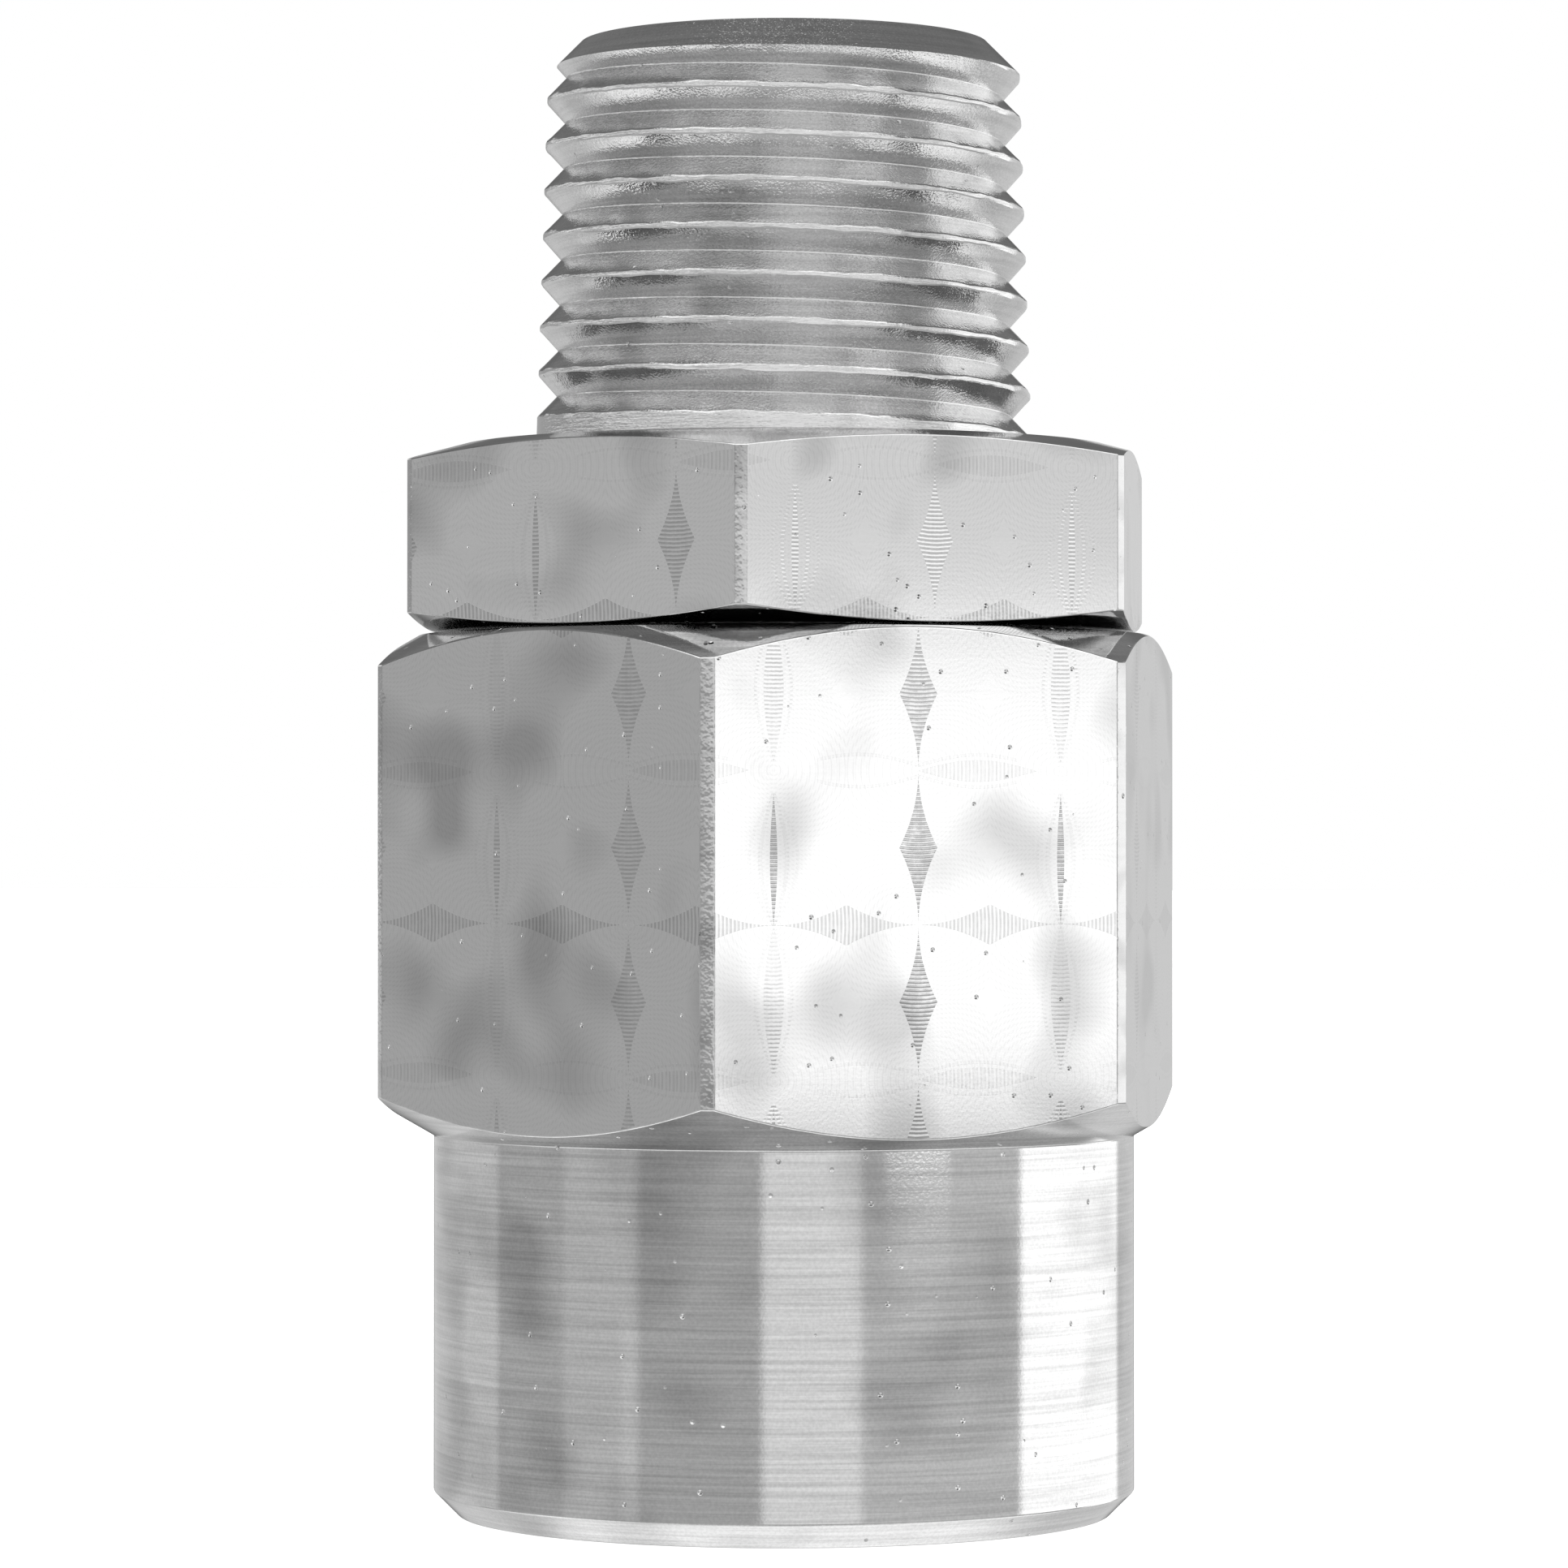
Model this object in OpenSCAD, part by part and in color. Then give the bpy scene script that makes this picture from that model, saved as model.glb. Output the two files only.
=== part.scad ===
// In-line swivel hose adapter, 1/2 inch taper pipe thread, male by female.
// A hexagon stem turns in a hexagon body on two rows of bearing balls, each filled through
// a plugged hole in a hexagon flat, and a seal group on the nose of the stem holds the pressure.
// Millimetres. The body stands on its port face at z = 0 with the turning axis on Z.

/* [Body] */
// Width of the body's hexagon across its flats
body_af = 31.75; // [28:0.05:46]
// How much a lathe takes off each sharp corner of the body's hexagon
body_corner_trim = 0.16; // [0:0.01:1]
// Height of the body's hexagon, chamfers included
body_hex_h = 21.47; // [19:0.05:30]
// Angle of the chamfers at both ends of the body's hexagon
body_chamfer_angle = 30; // [10:1:45]
// How far the flat top face of the body stops short of the hexagon's flats
body_face_inset = 0.17; // [0:0.01:2]
// Diameter of the round skirt around the port
skirt_d = 30.16; // [25:0.02:40]
// Size of the 45 degree chamfer at the foot of the skirt
skirt_chamfer = 1.05; // [0.1:0.05:2]

/* [Port] */
// Tapping diameter of the female port
port_tap_d = 18.26; // [15:0.02:22.5]
// Size of the 45 degree countersink at the mouth of the port
port_countersink = 1.77; // [0.3:0.01:2.5]
// Depth of the port from the face of the body
port_depth = 15.9; // [13:0.1:24]
// Thickness of the web between the port and the bearing chamber
web_t = 2.6; // [1.5:0.1:5]
// Diameter of the passage through the web and the stem
flow_d = 10.4; // [6:0.1:12]

/* [Stem] */
// Width of the stem's hexagon across its flats
stem_af = 30.16; // [27:0.02:38]
// How much a lathe takes off each sharp corner of the stem's hexagon
stem_corner_trim = 0.13; // [0:0.01:1]
// Height of the stem's hexagon, chamfers included
stem_hex_h = 7.97; // [5:0.01:14]
// Angle of the chamfers at both ends of the stem's hexagon
stem_chamfer_angle = 15; // [10:1:45]
// How far the upper face of the stem's hexagon stops short of its flats
stem_top_inset = 1.08; // [0:0.01:3]
// How far the lower face of the stem's hexagon stops short of its flats
stem_foot_inset = 0.08; // [0:0.01:2]
// Angle by which the stem's hexagon stands turned from the body's at rest
stem_rest_angle = 4.01; // [0:0.01:60]
// Diameter of the journal that turns inside the body
journal_d = 19; // [15.8:0.05:23]
// Chamfer on the inner end of the journal
nose_chamfer = 0.5; // [0.1:0.05:0.8]
// Chamfer at the mouth of the body's bore, which squeezes the seals on their way in
bore_lead_in = 0.3; // [0.1:0.05:0.5]

/* [Male thread] */
// Outside diameter of the thread where it leaves the hexagon
thread_base_d = 21.38; // [20:0.02:26]
// Length of the thread beyond the hexagon
thread_len = 17.46; // [12:0.02:26]
// Taper of a pipe thread, as diameter over length
thread_taper = 0.0625; // [0:0.0005:0.07]
// Diameter of the flat end face outside its 45 degree chamfer
thread_end_d = 17.56; // [15:0.02:20]
// Chamfer at the mouth of the passage in the threaded end
passage_chamfer = 0.6; // [0.1:0.1:1.5]

/* [Bearing] */
// Diameter of a bearing ball, 5/32 inch
ball_d = 3.97; // [3.17:0.01:4.8]
// Least room between two neighbouring balls, which sets how many fill a row
ball_spacing = 0.25; // [0.1:0.01:1.5]
// Room between a ball and the groove that it rolls in
race_clearance = 0.05; // [0.02:0.01:0.1]
// Radial running clearance between the journal and its bore
running_clearance = 0.06; // [0.02:0.01:0.1]
// Height of the land between the two ball grooves
race_land = 1.54; // [1:0.02:4]
// Height of the land between the seal groove and the lower ball groove
lower_land = 1; // [0.6:0.05:3]
// Height of the land between the upper ball groove and the wiper's pocket
upper_land = 0.91; // [0.6:0.01:3]
// Axial gap between the body's top face and the stem's hexagon
face_gap = 0.14; // [0.08:0.01:0.5]

/* [Seal group] */
// Gap between the end of the journal and the floor of the chamber
nose_gap = 0.4; // [0.2:0.05:1.5]
// Height of the land below the seal groove
nose_land = 1.6; // [1:0.05:3]
// Radial depth of the seal groove, from the bore to its floor
seal_depth = 1.45; // [1:0.05:2]
// Height of the O-ring as squeezed into its groove
o_ring_h = 1.9; // [1.5:0.05:2.4]
// Height of one backup ring
backup_h = 0.85; // [0.5:0.05:1.5]
// Room around the rings in their groove and the plugs in their holes
seal_gap = 0.05; // [0.02:0.01:0.1]
// Radial width of the wiper's pocket, from the bore outwards
wiper_w = 1.84; // [1.2:0.01:2.4]
// Depth of the wiper's pocket
wiper_pocket_h = 1.85; // [1:0.05:3]
// Thickness of the wiper's lip
wiper_lip_t = 0.45; // [0.3:0.05:0.7]

/* [Loading plugs] */
// Room for a ball in the hole through which it is loaded
loading_clearance = 0.23; // [0.1:0.01:0.5]
// Depth of the thread that a plug screws into, outside the loading hole
plug_thread_depth = 0.4; // [0.3:0.05:0.8]
// Length of the threaded part of a plug
plug_len = 3; // [2:0.1:3.6]
// How far a plug is sunk below its hexagon flat
plug_sink = 0.3; // [0:0.05:0.8]
// How deep a plug's tip reaches into its ball groove, as a share of the groove's radius
plug_reach = 0.45; // [0.2:0.05:0.8]
// Hexagon socket of a plug, across its flats
plug_socket_af = 2.5; // [2:0.1:3]
// Depth of the hexagon socket
plug_socket_depth = 1.6; // [0.8:0.1:2]

/* [Hidden] */
$fn = 96;

// Radii of the running fit and of the races
journal_r = journal_d / 2;
bore_r = journal_r + running_clearance;
pitch_r = (journal_r + bore_r) / 2;
race_r = ball_d / 2 + race_clearance;
balls_per_row = floor(180 / asin((ball_d + ball_spacing) / (2 * pitch_r)));
ball_step = 360 / balls_per_row;

ROWS = ["lower", "upper"];
function ball_name(row, i) = str(ROWS[row], "_ball_", i < 10 ? "0" : "", i);

// Cuts run this far past the faces that they open
over = 1;

// Heights, stacked upwards from the port face
chamber_floor = port_depth + web_t;
nose_z = chamber_floor + nose_gap;
seal_groove_h = o_ring_h + 2 * backup_h + 4 * seal_gap;
seal_groove_z = nose_z + nose_land;
lower_race_z = seal_groove_z + seal_groove_h + lower_land + race_r;
upper_race_z = lower_race_z + 2 * race_r + race_land;
race_z = [lower_race_z, upper_race_z];
wiper_pocket_z = upper_race_z + race_r + upper_land;
body_top = wiper_pocket_z + wiper_pocket_h;
hexagon_foot = body_top - body_hex_h;
collar_z = body_top + face_gap;
thread_z = collar_z + stem_hex_h;
stem_end = thread_z + thread_len;

// Other radii
seal_floor_r = bore_r - seal_depth;
ring_in_r = seal_floor_r + seal_gap / 2;
ring_out_r = bore_r - seal_gap;
wiper_pocket_r = bore_r + wiper_w;
thread_base_r = thread_base_d / 2;
thread_end_r = thread_end_d / 2;
// The 45 degree end chamfer meets the taper this far below the end face
end_chamfer = (thread_base_r - thread_end_r - thread_len * thread_taper / 2) / (1 - thread_taper / 2);

// Loading plugs, by their distance from the axis
loading_hole_r = (ball_d + loading_clearance) / 2;
plug_r = loading_hole_r + plug_thread_depth;
plug_seat_x = body_af / 2 - plug_sink - plug_len;
plug_tip_x = min(plug_seat_x, pitch_r + race_r * (1 - plug_reach));
// Hexagon flats, by the direction that each faces, through which the rows are loaded
plug_angle = [60, 120];
hexagon_turn = 30;

// A hexagon bar whose corners and ends are turned in a lathe
module turned_hexagon(af, h, trim, foot_r, top_r, angle, foot_angle) {
    corner_r = af / sqrt(3) - trim;
    intersection() {
        cylinder(r = af / sqrt(3), h = h, $fn = 6);
        rotate_extrude()
            polygon([
                [0, 0],
                [foot_r, 0],
                [corner_r, (corner_r - foot_r) * tan(foot_angle)],
                [corner_r, h - (corner_r - top_r) * tan(angle)],
                [top_r, h],
                [0, h]
            ]);
    }
}

// The ring-shaped track of one row of balls
module race(row) {
    translate([0, 0, race_z[row]])
        rotate_extrude()
            translate([pitch_r, 0])
                circle(race_r);
}

// A child that lies along X is moved to the loading hole of a row
module at_loading_hole(row) {
    translate([0, 0, race_z[row]])
        rotate([0, 0, plug_angle[row]])
            rotate([0, 90, 0])
                children();
}

module port_and_bore() {
    tap_r = port_tap_d / 2;
    rotate_extrude()
        polygon([
            [0, -over],
            [tap_r + port_countersink + over, -over],
            [tap_r, port_countersink],
            [tap_r, port_depth],
            [flow_d / 2, port_depth],
            [flow_d / 2, chamber_floor],
            [bore_r, chamber_floor],
            [bore_r, wiper_pocket_z - bore_lead_in],
            [bore_r + bore_lead_in, wiper_pocket_z],
            [wiper_pocket_r, wiper_pocket_z],
            [wiper_pocket_r, body_top + over],
            [0, body_top + over]
        ]);
}

module loading_hole(row) {
    at_loading_hole(row) {
        translate([0, 0, pitch_r])
            cylinder(r = loading_hole_r, h = body_af / 2);
        translate([0, 0, plug_seat_x])
            cylinder(r = plug_r, h = body_af / 2);
    }
}

module swivel_body() {
    skirt_r = skirt_d / 2;
    color("Gainsboro")
        difference() {
            union() {
                cylinder(r1 = skirt_r - skirt_chamfer, r2 = skirt_r, h = skirt_chamfer);
                translate([0, 0, skirt_chamfer])
                    cylinder(r = skirt_r, h = hexagon_foot + over - skirt_chamfer);
                translate([0, 0, hexagon_foot])
                    rotate([0, 0, hexagon_turn])
                        turned_hexagon(body_af, body_hex_h, body_corner_trim, skirt_r,
                            body_af / 2 - body_face_inset, body_chamfer_angle, body_chamfer_angle);
            }
            port_and_bore();
            for (row = [0, 1]) {
                race(row);
                loading_hole(row);
            }
        }
}

module male_stem() {
    foot_r = stem_af / 2 - stem_foot_inset;
    top_r = stem_af / 2 - stem_top_inset;
    color("Gainsboro")
        difference() {
            union() {
                rotate_extrude()
                    polygon([
                        [0, nose_z],
                        [journal_r - nose_chamfer, nose_z],
                        [journal_r, nose_z + nose_chamfer],
                        [journal_r, seal_groove_z],
                        [seal_floor_r, seal_groove_z],
                        [seal_floor_r, seal_groove_z + seal_groove_h],
                        [journal_r, seal_groove_z + seal_groove_h],
                        [journal_r, collar_z + over],
                        [thread_base_r, collar_z + over],
                        [thread_base_r, thread_z],
                        [thread_end_r + end_chamfer, stem_end - end_chamfer],
                        [thread_end_r, stem_end],
                        [0, stem_end]
                    ]);
                translate([0, 0, collar_z])
                    rotate([0, 0, hexagon_turn + stem_rest_angle])
                        turned_hexagon(stem_af, stem_hex_h, stem_corner_trim, foot_r,
                            top_r, stem_chamfer_angle, stem_chamfer_angle);
            }
            race(0);
            race(1);
            translate([0, 0, nose_z - over])
                cylinder(d = flow_d, h = stem_end - nose_z + 2 * over);
            translate([0, 0, stem_end - passage_chamfer])
                cylinder(r1 = flow_d / 2, r2 = flow_d / 2 + passage_chamfer + over,
                    h = passage_chamfer + over);
        }
}

// Squeezed between groove and bore, the round section of the ring has become an oval
module o_ring() {
    section_r = (ring_out_r - ring_in_r) / 2;
    straight = o_ring_h - 2 * section_r;
    color("DimGray")
        translate([0, 0, seal_groove_z + backup_h + 2 * seal_gap + section_r])
            rotate_extrude()
                translate([ring_in_r + section_r, 0])
                    union() {
                        circle(section_r);
                        translate([0, straight])
                            circle(section_r);
                        translate([-section_r, 0])
                            square([2 * section_r, straight]);
                    }
}

module backup_ring(z) {
    color("Ivory")
        translate([0, 0, z])
            rotate_extrude()
                translate([ring_in_r, 0])
                    square([ring_out_r - ring_in_r, backup_h]);
}

// A square-backed ring with a thin lip that leans up against the stem
module dust_wiper() {
    heel_h = wiper_pocket_h - 2 * seal_gap;
    outer_r = wiper_pocket_r - seal_gap;
    lip_root_r = bore_r + wiper_lip_t;
    color("DimGray")
        translate([0, 0, wiper_pocket_z + seal_gap])
            rotate_extrude()
                polygon([
                    [bore_r + seal_gap, 0],
                    [outer_r, 0],
                    [outer_r, heel_h],
                    [(outer_r + lip_root_r) / 2 + seal_gap, heel_h],
                    [(outer_r + lip_root_r) / 2, heel_h / 2],
                    [lip_root_r + seal_gap, heel_h / 2],
                    [bore_r + wiper_lip_t / 2, heel_h],
                    [bore_r, heel_h],
                    [bore_r + wiper_lip_t / 2, heel_h / 2]
                ]);
}

module loading_plug(row) {
    color("Silver")
        difference() {
            at_loading_hole(row) {
                translate([0, 0, plug_tip_x])
                    cylinder(r = loading_hole_r - seal_gap, h = plug_seat_x + over - plug_tip_x);
                difference() {
                    translate([0, 0, plug_seat_x + seal_gap])
                        cylinder(r = plug_r - seal_gap, h = plug_len - seal_gap);
                    translate([0, 0, plug_seat_x + plug_len - plug_socket_depth])
                        cylinder(d = plug_socket_af * 2 / sqrt(3), h = plug_socket_depth + over, $fn = 6);
                }
            }
            race(row);
        }
}

module bearing_ball(row, i) {
    color("White")
        rotate([0, 0, ball_step * (i - 1 + row / 2)])
            translate([pitch_r, 0, race_z[row]])
                sphere(d = ball_d);
}

swivel_body();
male_stem();
o_ring();
backup_ring(seal_groove_z + seal_gap);  // lower_backup_ring
backup_ring(seal_groove_z + seal_groove_h - seal_gap - backup_h);  // upper_backup_ring
dust_wiper();
loading_plug(0);  // lower_loading_plug
loading_plug(1);  // upper_loading_plug
for (row = [0, 1]) for (i = [1:balls_per_row])
    bearing_ball(row, i);
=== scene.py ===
# Hose adapter with a live swivel: the looks of every piece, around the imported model.
import math

import bpy
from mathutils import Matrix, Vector, noise


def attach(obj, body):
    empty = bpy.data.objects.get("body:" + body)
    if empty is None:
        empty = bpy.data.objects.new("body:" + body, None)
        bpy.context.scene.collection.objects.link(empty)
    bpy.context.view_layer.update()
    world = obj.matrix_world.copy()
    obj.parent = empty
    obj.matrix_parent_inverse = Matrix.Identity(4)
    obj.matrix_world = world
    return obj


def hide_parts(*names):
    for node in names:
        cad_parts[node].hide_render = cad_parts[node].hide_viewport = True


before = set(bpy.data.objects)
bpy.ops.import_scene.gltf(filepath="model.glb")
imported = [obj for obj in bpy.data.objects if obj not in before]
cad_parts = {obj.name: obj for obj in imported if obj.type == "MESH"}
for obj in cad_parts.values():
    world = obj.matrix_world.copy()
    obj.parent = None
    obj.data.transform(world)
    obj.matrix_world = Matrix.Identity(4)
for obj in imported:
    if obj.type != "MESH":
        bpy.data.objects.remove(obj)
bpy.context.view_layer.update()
mm = 0.001
print("frame loaded")


def hexColour(code):  # sRGB hex to the linear values that sockets take
    parts = [int(code[i:i + 2], 16) / 255 for i in (1, 3, 5)]
    return [p / 12.92 if p <= 0.04045 else ((p + 0.055) / 1.055) ** 2.4 for p in parts] + [1]


def addNode(tree, kind, inputs=(), **settings):
    node = tree.nodes.new("ShaderNode" + kind)
    for key, value in settings.items():
        setattr(node, key, value)
    pairs = inputs.items() if isinstance(inputs, dict) else enumerate(inputs)
    for key, value in pairs:
        if isinstance(value, bpy.types.Node):
            value = next(s for s in value.outputs if s.enabled)
        if isinstance(value, bpy.types.NodeSocket):
            tree.links.new(value, node.inputs[key])
        elif value is not None:
            node.inputs[key].default_value = value
    return node


# camera: 267 mm from the turning axis, 29 mm up, 9.8 degrees to the right of the body's front corner
view = {"place": (0.04548, -0.26310, 0.02913), "tilt": 90.478, "turn": 9.807, "lens": 142.0}
bpy.ops.object.camera_add(
    location=view["place"],
    rotation=(math.radians(view["tilt"]), 0, math.radians(view["turn"])),
)
camera = bpy.context.object
camera.name = "camera"
camera.data.lens = view["lens"]
camera.data.sensor_width = 36
camera.data.clip_start, camera.data.clip_end = 0.01, 20
bpy.context.scene.camera = camera
bpy.context.scene.view_settings.view_transform = "Standard"  # the photo's white is a plain white
print("camera placed")


# making of shapes; every length below is in millimetres
def pickOut(piece):
    bpy.ops.object.select_all(action="DESELECT")
    piece.select_set(True)
    bpy.context.view_layer.objects.active = piece


def startPiece(name):
    piece = bpy.context.object
    piece.name = piece.data.name = name
    bpy.ops.object.transform_apply(location=True, rotation=True, scale=True)
    return piece


def turnedPiece(name, outline, segments=192):  # outline is (radius, height) from the lower cap to the upper
    bpy.ops.object.select_all(action="DESELECT")
    radius, height = outline[0]
    bpy.ops.mesh.primitive_circle_add(
        vertices=segments, radius=radius * mm, fill_type="NGON", location=(0, 0, height * mm)
    )
    piece = startPiece(name)
    bpy.ops.object.mode_set(mode="EDIT")
    bpy.ops.mesh.select_all(action="SELECT")
    for nextRadius, nextHeight in outline[1:]:
        bpy.ops.mesh.extrude_region_move(
            TRANSFORM_OT_translate={"value": (0, 0, (nextHeight - height) * mm)}
        )
        grow = nextRadius / radius
        bpy.ops.transform.resize(value=(grow, grow, 1), center_override=(0, 0, nextHeight * mm))
        radius, height = nextRadius, nextHeight
    bpy.ops.mesh.select_all(action="SELECT")
    bpy.ops.mesh.normals_make_consistent(inside=False)
    bpy.ops.object.mode_set(mode="OBJECT")
    return piece


def hexagonBar(name, acrossFlats, low, high):  # corners at 30, 90 ... degrees
    bpy.ops.object.select_all(action="DESELECT")
    bpy.ops.mesh.primitive_cylinder_add(
        vertices=6,
        radius=acrossFlats / math.sqrt(3) * mm,
        depth=(high - low) * mm,
        location=(0, 0, (high + low) / 2 * mm),
    )
    return startPiece(name)


def placePiece(piece, tilt, turn, height=0):  # tilt away from Z, then turn about it, in degrees
    pickOut(piece)
    piece.rotation_euler = (0, math.radians(tilt), math.radians(turn))
    piece.location = (0, 0, height * mm)
    bpy.ops.object.transform_apply(location=True, rotation=True, scale=True)


def applyModifier(piece, kind, **settings):
    pickOut(piece)
    modifier = piece.modifiers.new(kind.lower(), kind)
    for key, value in settings.items():
        setattr(modifier, key, value)
    bpy.ops.object.modifier_apply(modifier=modifier.name)


def combine(piece, tool, operation="DIFFERENCE"):
    applyModifier(piece, "BOOLEAN", object=tool, operation=operation, solver="EXACT")
    bpy.data.objects.remove(tool)
    return piece


def breakEdges(piece, width, angle=12):  # the small chamfer that deburring leaves
    applyModifier(
        piece, "BEVEL", width=width * mm, segments=2, limit_method="ANGLE",
        angle_limit=math.radians(angle), use_clamp_overlap=True, harden_normals=False,
    )


# the arc of a ball groove, between the two heights where it cuts a cylinder of that radius
def raceOutline(radius, centreZ, outward, steps=24):
    raceR, pitchR = bearing["raceR"], bearing["pitchR"]
    half = math.sqrt(raceR ** 2 - (radius - pitchR) ** 2)
    start = math.asin(half / raceR)
    side = 1 if outward else -1
    points = []
    for i in range(steps + 1):
        angle = -start + 2 * start * i / steps
        points.append((pitchR + side * raceR * math.cos(angle), centreZ + raceR * math.sin(angle)))
    return points


thread = {
    "pitch": 1.964,        # measured in the photo, left-hand as it shows it
    "crestAtLeft": 60.82,  # height of a crest at the camera's left silhouette
    "leftAngle": -168.19,  # world angle of that silhouette, in degrees
    "crestFlat": 0.2,
    "crestEdge": 0.03,     # broken edges of the crest
    "rootFlat": 0.05,
    "taper": 1 / 32,       # radius over height, the taper of a pipe thread
    "stepsPerTurn": 240,
    "burrReach": 0.3,      # share of the depth down to which the burr bends the flank
    "burr": 0.075,         # how far a crest's burred edge wanders up and down
    "burrFlank": 0.35,     # share of it that the flank below the edge follows
    "burrSink": 0.3,       # share of it that the crest sinks and rises
    "burrRound": 7,        # radius of the circle that is taken through the noise: more gives shorter waves
    "burrStep": 1.3,       # how far the circle moves from crest to crest
    "edgeStep": 2.1,       # and from a crest's upper edge to its lower one
}


# sizes: radius over the crests "crestR" at the height "crestRZ", cut between "lowZ" and "highZ";
# the crests run out over the last "runOut" turns before the turn "lastTurn"
def threadedRod(name, sizes):
    pitch, depth = thread["pitch"], sizes["depth"]
    low, high = sizes["lowZ"], sizes["highZ"]
    flat, root, edge = thread["crestFlat"], thread["rootFlat"], thread["crestEdge"]
    flank, reach = (pitch - flat - root) / 2, thread["burrReach"]
    upper = [
        (-depth, pitch / 2), (-depth, pitch / 2 - root / 2), (-reach * depth, flat / 2 + reach * flank),
        (-edge, flat / 2 + edge * flank / depth), (0, flat / 2 - edge),
    ]
    outline = upper + [(r, -z) for r, z in reversed(upper)]
    turns = math.ceil((high - low) / pitch) + 3
    crestZ = thread["crestAtLeft"]
    while crestZ < high + pitch:
        crestZ += pitch
    while crestZ > high + 2 * pitch:
        crestZ -= pitch
    bpy.ops.object.select_all(action="DESELECT")
    bpy.ops.mesh.primitive_plane_add(size=0.1 * mm)
    rod = startPiece(name)
    bpy.ops.object.mode_set(mode="EDIT")
    bpy.ops.mesh.select_all(action="SELECT")
    bpy.ops.mesh.merge(type="CENTER")
    bpy.ops.transform.translate(
        value=((sizes["crestR"] + outline[0][0]) * mm, 0, (crestZ + outline[0][1]) * mm)
    )
    for (r0, z0), (r1, z1) in zip(outline, outline[1:]):
        bpy.ops.mesh.extrude_region_move(
            TRANSFORM_OT_translate={"value": ((r1 - r0) * mm, 0, (z1 - z0) * mm)}
        )
    bpy.ops.object.mode_set(mode="OBJECT")
    applyModifier(
        rod, "SCREW", axis="Z", angle=2 * math.pi, screw_offset=-pitch * mm, iterations=turns,
        steps=thread["stepsPerTurn"], render_steps=thread["stepsPerTurn"],
        use_smooth_shade=True,
    )
    bpy.ops.object.mode_set(mode="EDIT")
    bpy.ops.mesh.select_all(action="SELECT")
    bpy.ops.mesh.remove_doubles(threshold=0.001 * mm)  # joins each turn to the next, into one tube
    bpy.ops.object.mode_set(mode="OBJECT")
    start = math.radians(thread["leftAngle"])
    for vertex in rod.data.vertices:
        x, y, z = vertex.co / mm
        angle = math.atan2(y, x)
        turned = (angle / (2 * math.pi)) % 1
        drop = math.hypot(x, y) - sizes["crestR"]
        along = (crestZ - z) / pitch - turned  # pitches below the first crest
        fade = 1.0
        if "runOut" in sizes:
            travelled = math.floor(along) + turned
            fade = min(max((sizes["lastTurn"] - travelled) / sizes["runOut"], 0.0), 1.0)
            fade = fade * fade * (3 - 2 * fade)
        if sizes["burred"] and drop > -0.5 * depth:
            crest = Vector((math.cos(angle), math.sin(angle), 0)) * thread["burrRound"]
            crest.z = thread["burrStep"] * round(along)
            spot = crest + Vector((0, 0, thread["edgeStep"] if along % 1 < 0.5 else 0))
            wander = noise.noise(spot) + 0.5 * noise.noise(spot * 3.1)
            burr = thread["burr"] * (1.0 if drop > -1.5 * edge else thread["burrFlank"]) * fade
            z += wander * burr
            drop += thread["burrSink"] * noise.noise(crest * 1.7) * burr
        radius = sizes["crestR"] + drop * fade - (z - sizes["crestRZ"]) * thread["taper"]
        angle += start
        vertex.co = Vector((radius * math.cos(angle), radius * math.sin(angle), z)) * mm
    bpy.ops.object.mode_set(mode="EDIT")
    for height, way in ((low, -1), (high, 1)):  # cut square at both ends
        bpy.ops.mesh.select_all(action="SELECT")
        bpy.ops.mesh.bisect(
            plane_co=(0, 0, height * mm), plane_no=(0, 0, way), use_fill=True, clear_outer=True,
            threshold=1e-7,
        )
    bpy.ops.mesh.select_all(action="SELECT")
    bpy.ops.mesh.normals_make_consistent(inside=False)
    bpy.ops.object.mode_set(mode="OBJECT")
    return rod


# two rows of balls run in grooves cut half in the stem and half in the body
bearing = {"pitchR": 9.53, "raceR": 2.035, "lowerZ": 27.335, "upperZ": 32.945, "boreR": 9.56}

# the swivel body: hexagon bar with a turned skirt, the female port below and the bearing above
body = {
    "acrossFlats": 31.75, "turn": 0, "cornerR": 18.171, "barZ": (-2, 40),
    "footZ": 16.27, "topZ": 37.74, "topR": 15.705, "chamfer": 30, "edge": 0.05,
    "skirtR": 15.08, "skirtChamfer": 1.05,
    "tapR": 9.13, "mouthR": 10.9, "portDepth": 15.9, "flowR": 5.2, "chamberZ": 18.5,
    "wiperZ": 35.89, "wiperR": 11.4, "wiperEdge": 0.08, "leadIn": 0.3, "past": 1,
    "tap": {"crestR": 10.55, "crestRZ": 0, "lowZ": -1.2, "highZ": 13.8, "depth": 1.4, "burred": False},
}

# screw plugs that close the loading holes; X is the distance from the body's axis, along which they lie
plug = {
    "angles": (60, 120), "holeR": 2.1, "threadR": 2.5, "room": 0.05, "edge": 0.25,
    "tipX": 10.65, "seatX": 12.575, "topX": 15.575,
    "socket": 2.5, "socketDepth": 1.6, "drillR": 1.2, "drillDepth": 0.6,
    "socketMouth": [(-0.25, -0.35), (0.3, 0.2)],  # its chamfer, from the socket's corner and the plug's top
    "holeStartX": 9, "holeMouth": [(2.5, 15.675), (3.1, 16.275)],
}


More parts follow.
